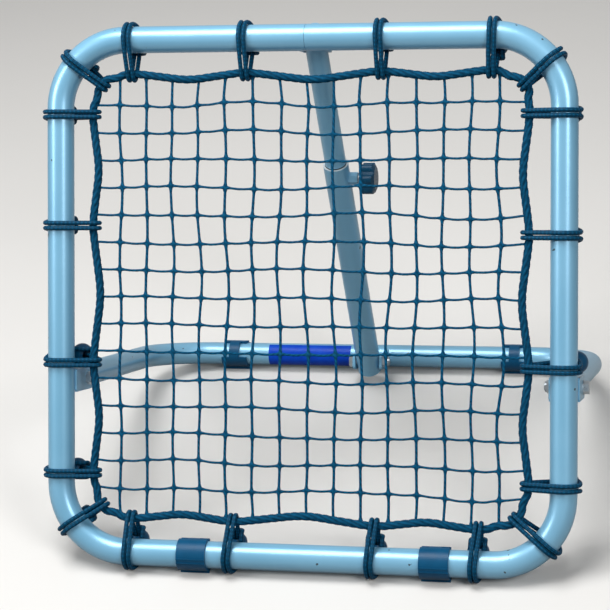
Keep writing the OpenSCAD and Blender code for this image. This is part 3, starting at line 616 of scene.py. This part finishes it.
# U is 0 again where the section closes: the last face of a ring gets 1 there.
whole = add(sweep, "GeometryNodeFieldOnDomain", {
    "Value": around.outputs["Around"]
}, domain="FACE", data_type="FLOAT")
behind = add(sweep, "ShaderNodeMath", {
    0: whole.outputs["Value"], 1: around.outputs["Around"]
}, operation="SUBTRACT")
closes = add(sweep, "ShaderNodeMath", {0: behind.outputs[0], 1: 0.3}, operation="GREATER_THAN")
u = add(sweep, "ShaderNodeMath", {
    0: around.outputs["Around"], 1: closes.outputs[0]
}, operation="ADD")
uv = add(sweep, "ShaderNodeCombineXYZ", {"X": u.outputs[0], "Y": lengthwise.outputs["Length"]})
mapped = add(sweep, "GeometryNodeStoreNamedAttribute", {
    "Geometry": tube.outputs["Mesh"], "Name": "UVMap", "Value": uv.outputs["Vector"]
}, data_type="FLOAT2", domain="CORNER")
smooth = add(sweep, "GeometryNodeSetShadeSmooth", {"Geometry": mapped.outputs["Geometry"]})
real = add(sweep, "GeometryNodeRealizeInstances", {"Geometry": smooth.outputs["Geometry"]})
done = add(sweep, "GeometryNodeSetMaterial", {
    "Geometry": real.outputs["Geometry"], "Material": given.outputs["Material"]
})
add(sweep, "NodeGroupOutput", {"Geometry": done.outputs["Geometry"]})
print("tree", sweep.name, "with", len(sweep.nodes), "nodes")

# %% From lines to a finished piece


def cord_piece(name, lines, material, closed=False, **sizes):
    """Sweeps lines, each an array of x, y, z and radius in metres, into one mesh."""
    points, edges = [], []
    for line in lines:
        first, count = len(points), len(line)
        points.extend(line)
        edges += [(first + i, first + i + 1) for i in range(count - 1)]
        if closed:
            edges.append((first + count - 1, first))
    points = np.array(points)
    mesh = bpy.data.meshes.new(name)
    mesh.from_pydata(points[:, :3].tolist(), edges, [])
    radius = mesh.attributes.new("radius", "FLOAT", "POINT")
    radius.data.foreach_set("value", points[:, 3].astype(np.float32))
    piece = bpy.data.objects.new(name, mesh)
    bpy.context.scene.collection.objects.link(piece)
    modifier = piece.modifiers.new("cord", "NODES")
    modifier.node_group = sweep
    values = {**sizes, "Material": material}
    for socket in sweep.interface.items_tree:
        if socket.in_out == "INPUT" and socket.name in values:
            modifier[socket.identifier] = values[socket.name]
    graph = bpy.context.evaluated_depsgraph_get()
    piece.data = bpy.data.meshes.new_from_object(piece.evaluated_get(graph))
    piece.data.name = name
    piece.modifiers.clear()
    triangles = sum(len(face.vertices) - 2 for face in piece.data.polygons)
    print(name, len(lines), "lines,", triangles, "triangles")
    return piece


# %% Helpers for lines


def thick(points, radius):
    """Points in metres with a radius in millimetres beside each of them."""
    radius = np.broadcast_to(np.asarray(radius, float) / 1000, len(points))
    return np.column_stack([points, radius])


def rounded(points, closed=False):
    """Cuts the corners of a path three times over, which makes it a smooth curve."""
    for _ in range(3):
        here = points if closed else points[:-1]
        after = np.roll(points, -1, 0) if closed else points[1:]
        cut = np.stack([0.75 * here + 0.25 * after, 0.25 * here + 0.75 * after], 1)
        cut = cut.reshape(-1, points.shape[1])
        points = cut if closed else np.vstack([points[:1], cut, points[-1:]])
    return points


# %% [markdown]
# ## Where the twenty loops are
# Four loops hang on each side of the frame and one at each corner. Nobody hooks
# them on with a ruler, so each has drifted a little from its even place, on the
# tube and on the rope. These are the same places as in the CAD model, because
# the balls that close the loops come from there.

# %% Sizes of a loop, in millimetres
LOOP_REACH = 38.0                     # from the tube's centre line to the rope
STRAND_X = CORD_R + 0.4               # of each strand from the loop's middle
WRAP_R = TUBE_R + CORD_R + LOOP_GAP   # of a strand's bend round the tube
GRIP_R = ROPE_R + CORD_R + LOOP_GAP   # and round the rope
HOOK_X = STRAND_X + 2 * CORD_R + 0.3  # of a strand where it hooks round the others
HOOK_BEND = 3.0
BALL_GAP = 0.6
BALL_CLEAR = BALL_R + CORD_R + BALL_GAP
BALL_BACK = WRAP_R + math.sqrt(BALL_CLEAR ** 2 - HOOK_X ** 2)
rope_x, rope_z = SIDE_X - LOOP_REACH, MID_Z - LOOP_REACH
print("rope at", rope_x, "and", rope_z, "mm, balls", round(BALL_BACK, 1), "mm behind the tube")

# %% Even places, and what a loop gives way to
MESH = 30.7               # from twine to twine of the net
END_INSET = 44.0          # from the rope's corner to a side's first loop
TWINE_GAP = 1.3
BRACKET_GAP = 1.5


def even_places(half):
    """Four even places on a side whose rope runs from -half to half."""
    return [(half - END_INSET) * (2 * i / 3 - 1) for i in range(4)]


def between_twines(x):
    """The nearest place to x where a loop fits between two twines of the net."""
    first = math.floor(x / MESH) * MESH
    room = STRAND_X + CORD_R + TWINE_R + TWINE_GAP
    return first + min(max(x - first, room), MESH - room)


def off_bracket(z):
    """The nearest place to z where a ball stays clear of the leg's pivot."""
    middle, room = PIVOT_UP - MID_Z, LEG_R + BALL_R + BRACKET_GAP
    if abs(z - middle) >= room:
        return z
    return middle + (-room if z < middle else room)


def loop_at(rope, tube, outward, ball_out, ball_along=0.0):
    """A loop: x and z of its rope and tube points from the middle, and its way out."""
    rope, tube, outward = (np.array(v, float) for v in (rope, tube, outward))
    along = np.array([outward[1], -outward[0]])
    return {
        "rope": rope, "tube": tube, "outward": outward, "along": along, "ball_out": ball_out,
        "ball_along": ball_along, "reach": (tube - rope) @ outward, "drift": (rope - tube) @ along,
    }


print("even places along the top", [round(x, 1) for x in even_places(rope_x)])

# %% Loops at the top and the bottom
# For each loop its drift on the tube and on the rope, and how far out its ball is
loops = {}
for name, way, on_tube, on_rope, ball_out in (
    ("top", 1, [0.1, -2.9, 15.2, 4.7], [2.2, -1.3, 15.8, 2.4], [2, 1, 3, -9]),
    ("bottom", -1, [-0.7, -20.7, 5.2, -15.2], [1.1, -18, 9.1, -10.7], [-9, -9.5, -8.5, -8.5]),
):
    loops[name] = [
        loop_at(
            (between_twines(x + on_rope[i]), way * rope_z), (x + on_tube[i], way * MID_Z),
            (0, way), ball_out[i],
        )
        for i, x in enumerate(even_places(rope_x))
    ]
    print(name, "loops hold the rope at", [round(loop["rope"][0], 1) for loop in loops[name]])

# %% Loops at the sides
# These drift as one on tube and rope, and their balls give way to the pivot.
for name, way, drift, ball_out in (
    ("left", -1, [6.3, -5.9, 11.2, -1.1], [-8, -14, 8, 9]),
    ("right", 1, [5.2, -4.7, 2.5, -3.3], [2, 11, 1, 3]),
):
    heights = [z + drift[i] for i, z in enumerate(even_places(rope_z))]
    loops[name] = [
        loop_at(
            (way * rope_x, between_twines(z)), (way * SIDE_X, z), (way, 0), ball_out[i],
            way * (z - off_bracket(z)),
        )
        for i, z in enumerate(heights)
    ]
    print(name, "loops hold the rope at", [round(loop["rope"][1], 1) for loop in loops[name]])

# %% Loops at the corners


def polar(radius, degrees):
    """A point in the frame's plane, so far and in that direction from the origin."""
    return np.array([math.cos(math.radians(degrees)), math.sin(math.radians(degrees))]) * radius


# Seen from the middle of the tube's bend: direction on the tube and on the rope,
# and how far out the rope is
loops["corner"] = []
for side_way, top_way, on_tube, on_rope, rope_out, ball_out in (
    (-1, 1, 138.8, 134.7, 39.5, 2),
    (1, 1, 38, 34.5, 42.2, 1),
    (1, -1, -42, -46.4, 37.8, 3),
    (-1, -1, 216.3, 220, 39.2, 2),
):
    bend = np.array((side_way * (SIDE_X - CORNER_BEND), top_way * (MID_Z - CORNER_BEND)))
    loops["corner"].append(loop_at(
        bend + polar(rope_out, on_rope), bend + polar(CORNER_BEND, on_tube),
        polar(1, on_tube), ball_out,
    ))
print({name: len(group) for name, group in loops.items()}, "loops")

# %% [markdown]
# ## The border rope
# A 9 mm rope of three strands runs round the net. Each loop holds it by a short
# straight piece, and between two loops the pull of the net draws it inward, so
# its outline is a row of shallow scallops. The section has three lobes and makes
# one turn in 27 mm, three times the rope's thickness, as laid rope does. The
# turns come out as a whole number, so the end of the ring meets its start.

# %% Path of the rope
GRIP_HALF = STRAND_X + CORD_R + 0.5   # half the straight piece that a loop holds
ROPE_SAG = 0.066                      # its dip, as a share of the way between loops
ROPE_LAY = 27.0
corners = loops["corner"]
ring = (
    [corners[0]] + loops["top"] + [corners[1]] + loops["right"][::-1]
    + [corners[2]] + loops["bottom"][::-1] + [corners[3]] + loops["left"]
)
path = []
for here, after in zip(ring, ring[1:] + ring[:1]):
    a = here["rope"] + here["along"] * GRIP_HALF
    b = after["rope"] - after["along"] * GRIP_HALF
    chord = (b - a) / np.linalg.norm(b - a)
    dip = (a + b) / 2 + np.array([chord[1], -chord[0]]) * np.linalg.norm(b - a) * ROPE_SAG
    # Each half of the dip bows out, so that the rope leaves its loop straight
    bow = np.linalg.norm(dip - a) / 8
    path += [
        a - here["along"] * 2 * GRIP_HALF, a, (a + dip) / 2 + (here["along"] - chord) * bow,
        dip, (dip + b) / 2 + (chord - after["along"]) * bow,
    ]
rope_line = rounded(np.array(path), closed=True)
rope_length = np.linalg.norm(rope_line - np.roll(rope_line, -1, 0), axis=1).sum()
rope_turns = round(rope_length / ROPE_LAY)
print("rope", round(rope_length), "mm long,", rope_turns, "turns")

# %% The rope
# Its lobes stand a little further out, for what the grooves between them lack.
LOBE = 1.06
rope_points = np.column_stack([rope_line[:, 0], np.zeros(len(rope_line)), MID_Z + rope_line[:, 1]])
border_rope = cord_piece(
    "laid_border_rope", [thick(standing(rope_points), ROPE_R * LOBE)], edge_rope, closed=True,
    Step=0.0024, Sides=24, Strands=3.0, Groove=0.13, Turns=float(rope_turns),
)
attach(border_rope, "frame")
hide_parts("border_rope")

# %% [markdown]
# ## The net
# Fifteen twines run up and fifteen across, 30.7 mm apart, and grow together in
# a flat diamond where they cross. The upright twines are the thicker ones. The
# net is stretched, but not evenly: near the edge the twines follow the scallops
# of the rope, and a few millimetres of slack remain here and there. A cloth
# simulation could find such a shape, but it takes long and is hard to steer. So
# each point of a twine is moved by one smooth rule. Both sets of twines obey it,
# and still meet at their knots. The level twines hang a little between two knots.

# %% Where the rope is


def rope_at(place, axis, side):
    """Where the rope crosses a line at place on one axis, on its low or high side."""
    a, b = rope_line, np.roll(rope_line, -1, 0)
    low, high = np.minimum(a, b)[:, axis], np.maximum(a, b)[:, axis]
    met = (low <= place) & (place < high)
    share = (place - a[met, axis]) / (b[met, axis] - a[met, axis])
    other = a[met, 1 - axis] + share * (b[met, 1 - axis] - a[met, 1 - axis])
    return other.max() if side > 0 else other.min()


SIDE_RUN = 205            # half the run of a side between its two corners
grid = np.arange(-SIDE_RUN, SIDE_RUN + 1, 2.5)
scallops = {}
for axis in (0, 1):
    for side in (-1, 1):
        line = np.array([rope_at(g, axis, side) for g in grid])
        scallops[axis, side] = (line, line - line.mean())
print("scallops up to", round(max(np.abs(s).max() for _, s in scallops.values()), 1), "mm")

# %% How the twines have shifted
# Ten slow waves with a direction, a phase and a height in millimetres each
rng = np.random.default_rng(7)
ripples = []
for _ in range(10):
    rate = rng.uniform(0.012, 0.045, 2) * rng.choice([-1, 1], 2)
    ripples.append((rate, rng.uniform(0, math.tau), rng.uniform(0.55, 1.25)))

SCALLOP_SHARE = 0.8       # of the rope's scallops that the outermost twine follows
SCALLOP_DEPTH = 44        # how far in that fades
TOP_LEAN, TOP_DEPTH = 2.4, 45     # a lean near the top, and how far down it fades
TOP_WAVE, TOP_PHASE = 47, 0.9


def shifted(x, z):
    """Where the net's point x, z really lies."""
    across = np.zeros_like(x)
    up = np.zeros_like(z)
    for (axis, side), (line, offset) in scallops.items():
        along, out = (x, z) if axis == 0 else (z, x)
        inward = np.maximum(np.abs(np.interp(along, grid, line) - out), 0)
        pull = SCALLOP_SHARE * np.interp(along, grid, offset) * np.exp(-inward / SCALLOP_DEPTH)
        if axis == 0:
            up += pull
        else:
            across += pull
    for k, (rate, phase, size) in enumerate(ripples):
        wave = size * np.sin(rate[0] * x + rate[1] * z + phase)
        if k % 2:
            across += wave
        else:
            up += wave
    # Near the top the twines lean a little, one way and then the other
    lean_here = TOP_LEAN * np.exp(-np.maximum(rope_z - z, 0) / TOP_DEPTH)
    across += lean_here * np.sin(x / TOP_WAVE + TOP_PHASE)
    return x + across, z + up


# %% The twines
TWINES = 7                            # on each side of the middle one
UPRIGHT_R, LEVEL_R = 1.6, 1.3
KNOT_SWELL, KNOT_SPREAD = 1.7, 2.7    # of the radius at a knot, and how far it runs
END_RUN = 25                          # over which a twine comes to its place in the rope
HANG = 0.45                           # half the dip of a level twine between two knots
WEAVE = 0.3                           # forward and back, where it passes the others
FLATNESS = 0.6                        # of twine and knots, as a share of their width
twines = []
step = MESH / 12
for axis, twine_r in ((0, UPRIGHT_R), (1, LEVEL_R)):
    for k in range(-TWINES, TWINES + 1):
        place = k * MESH
        low, high = rope_at(place, axis, -1), rope_at(place, axis, 1)
        run = np.linspace(low, high, int((high - low) / step) + 1)
        fixed = np.full_like(run, place)
        x0, z0 = (fixed, run) if axis == 0 else (run, fixed)
        x, z = shifted(x0, z0)
        slip = np.clip(np.minimum(run - low, high - run) / END_RUN, 0, 1)
        x, z = x0 + (x - x0) * slip, z0 + (z - z0) * slip
        from_knot = np.abs((run + MESH / 2) % MESH - MESH / 2)
        radius = twine_r + KNOT_SWELL * np.exp(-(from_knot / KNOT_SPREAD) ** 2)
        if axis == 1:
            z = z - HANG * (1 - np.cos(run / MESH * math.tau)) * slip
        back = WEAVE * np.sin(run / MESH * math.pi + (math.pi if (k + axis) % 2 else 0))
        twines.append(thick(np.column_stack([x, back, MID_Z + z]) / 1000, radius))
net = cord_piece("knotted_net", twines, net_twine, Step=0.0026, Sides=8, Turns=0.0)
# Twine and knots are pressed flat while the net is upright, then it leans back.
net.data.transform(stand @ Matrix.Scale(1000, 4) @ Matrix.Diagonal((1, FLATNESS, 1, 1)))
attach(net, "frame")
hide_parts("net")

# %% [markdown]
# ## The elastic loops
# Each loop is one length of 5 mm elastic, doubled. Its ends sit in a ball behind
# the tube. From there both strands run down to the rope, round it, up in front
# of the tube, over it, and hook on to the neck of the ball. The path is worked
# out for one loop in a space of its own: X along the tube, Y to the back and Z
# outward. Its corner points lie just outside the curves it follows, so cutting
# the corners gives arcs that hug the rope and the tube. The two strands lie side
# by side in front and part behind the tube, to pass the ball.

# %% Path of one strand
STUB = 4.0                # how deep in its ball a strand starts
GRIP_POINTS, WRAP_POINTS = 4, 8


def strand_path(loop, side):
    """One strand's corner points, from inside the ball to the middle of the hook."""
    reach, drift = loop["reach"], loop["drift"]
    run = loop["ball_out"] + reach
    # Angles of the strands behind and in front of the tube, in degrees
    fall = math.degrees(
        math.atan2(BALL_BACK, run) - math.asin(GRIP_R / math.hypot(BALL_BACK, run))
    )
    slope = math.degrees(math.asin((WRAP_R - GRIP_R) / reach))
    # The corner where both would meet below the rope gives the way to the ball
    half = math.radians((180 - slope - fall) / 2)
    a = math.radians(90 + fall) + half
    corner = np.array([
        drift, GRIP_R / math.cos(half) * math.sin(a), GRIP_R / math.cos(half) * math.cos(a) - reach
    ])
    ball = np.array([loop["ball_along"], BALL_BACK, loop["ball_out"]])
    inward = (corner - ball) / np.linalg.norm(corner - ball)
    rise = 2 * CORD_R + BALL_GAP
    hook = (
        ball + inward * math.sqrt(BALL_CLEAR ** 2 - rise ** 2)
        + np.array([0, math.cos(math.radians(fall)), -math.sin(math.radians(fall))]) * rise
    )
    points = [ball - inward * STUB + np.array([side * STRAND_X, 0, 0])]
    # Round the rope
    grip = (180 - slope - fall) / GRIP_POINTS
    for k in range(GRIP_POINTS):
        a = math.radians(90 + fall + grip * (k + 0.5))
        r = GRIP_R / math.cos(math.radians(grip / 2))
        points.append([drift + side * STRAND_X, r * math.sin(a), r * math.cos(a) - reach])
    # Over the tube, and sideways on its second half
    wrap = (180 + slope) / WRAP_POINTS
    for k in range(WRAP_POINTS):
        a = math.radians(wrap * (k + 0.5) - slope)
        r = WRAP_R / math.cos(math.radians(wrap / 2))
        way = max(0, 2 * k / (WRAP_POINTS - 1) - 1)
        x = side * (STRAND_X + (HOOK_X - STRAND_X) * way) + loop["ball_along"] * way
        points.append([x, -r * math.cos(a), r * math.sin(a)])
    # Down and under the neck of the ball
    points += [
        [hook[0] + side * HOOK_X, WRAP_R, hook[2] + HOOK_BEND],
        [hook[0] + side * HOOK_X, WRAP_R + HOOK_BEND, hook[2]],
        [hook[0] + side * HOOK_X, hook[1] - HOOK_BEND, hook[2]],
        [hook[0] + side * (HOOK_X - HOOK_BEND), hook[1], hook[2]],
    ]
    return points


def loop_line(loop):
    """A whole loop's line on the leaning frame, in metres."""
    points = np.array(strand_path(loop, -1) + strand_path(loop, 1)[::-1], float)
    points = rounded(points)
    flat = loop["tube"] + points[:, :1] * loop["along"] + points[:, 2:] * loop["outward"]
    return standing(np.column_stack([flat[:, 0], points[:, 1], MID_Z + flat[:, 1]]))


# %% The loops
for name, group in loops.items():
    elastics = cord_piece(
        f"braided_elastics_{name}", [thick(loop_line(loop), CORD_R) for loop in group],
        elastic_braid, Step=0.0025, Sides=12,
    )
    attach(elastics, "frame")
    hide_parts(f"{name}_elastics")

# %% [markdown]
# ## Weld beads
# The bracket plates are welded to the tubes before the steel is coated. A weld
# is a row of small overlapping ripples, 1.6 mm apart, that fills the corner
# between plate and tube. The same tree sweeps it along that corner, with a
# radius that rises and falls.

# %% A bead
BEAD_R = 1.7
BEAD_OUT = 0.4            # from a tube's skin to the middle of the bead
BEAD_STEP = 0.4           # between two points of its line
RIPPLE, RIPPLE_RISE = 1.6, 0.16
END_SHARE = 0.35          # of its radius that a bead has at its very end
TAPER = 1.5               # millimetres in which that share would grow by a whole radius


def bead(points):
    """A weld's line with its ripples, thinner at both ends."""
    points = np.asarray(points, float)
    steps = np.linalg.norm(np.diff(points, axis=0), axis=1)
    at = np.concatenate([[0], np.cumsum(steps)])
    even = np.linspace(0, at[-1], int(at[-1] / BEAD_STEP) + 1)
    line = np.column_stack([np.interp(even, at, points[:, k]) for k in range(3)])
    swell = BEAD_R * (1 + RIPPLE_RISE * np.cos(even / RIPPLE * math.tau))
    swell *= np.clip(np.minimum(even, even[-1] - even) / TAPER + END_SHARE, 0, 1)
    return line, swell


def arc_round_tube(x, y, z, radius, first, last):
    """Points round a tube that runs along X, with angles from straight back."""
    turns = np.radians(np.linspace(first, last, 24))
    return [(x, y + radius * math.cos(t), z + radius * math.sin(t)) for t in turns]


# %% Beads on the frame
PLATE_FACE = 15.6         # from a side tube's middle to a pivot plate's bead
PLATE_FRONT = 4.6         # where that bead lies on the tube's flank
PLATE_BEAD_HALF = 11.5
TOP_PLATE_FACE = 16.2
beads = []
for side in (-1, 1):
    # Each pivot plate's outer face meets the flank of its upright
    for face in (-1, 1):
        x = side * SIDE_X + face * PLATE_FACE
        ends = (PIVOT_UP - PLATE_BEAD_HALF, PIVOT_UP + PLATE_BEAD_HALF)
        beads.append(bead([(x, PLATE_FRONT, z) for z in ends]))
    # The top bracket's plates stand square on the top tube
    beads.append(bead(arc_round_tube(side * TOP_PLATE_FACE, 0, TOP_Z, TUBE_R + BEAD_OUT, -50, 50)))
frame_welds = cord_piece(
    "frame_weld_beads", [thick(standing(line), swell) for line, swell in beads], powder_coat,
    Step=0.0004, Sides=8,
)
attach(frame_welds, "frame")

# %% Beads on the leg
# The brace's foot plates point forward from the cross tube, in the leg's space.
FOOT_PLATE_FACE = 19.6
leg_beads = []
for side in (-1, 1):
    line, swell = bead(
        arc_round_tube(side * FOOT_PLATE_FACE, LEG_REACH, 0, LEG_R + BEAD_OUT, 140, 205)
    )
    leg_beads.append(thick(np.array([on_leg @ Vector(p) for p in line]), swell))
leg_welds = cord_piece("leg_weld_beads", leg_beads, powder_coat, Step=0.0004, Sides=8)
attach(leg_welds, "leg")
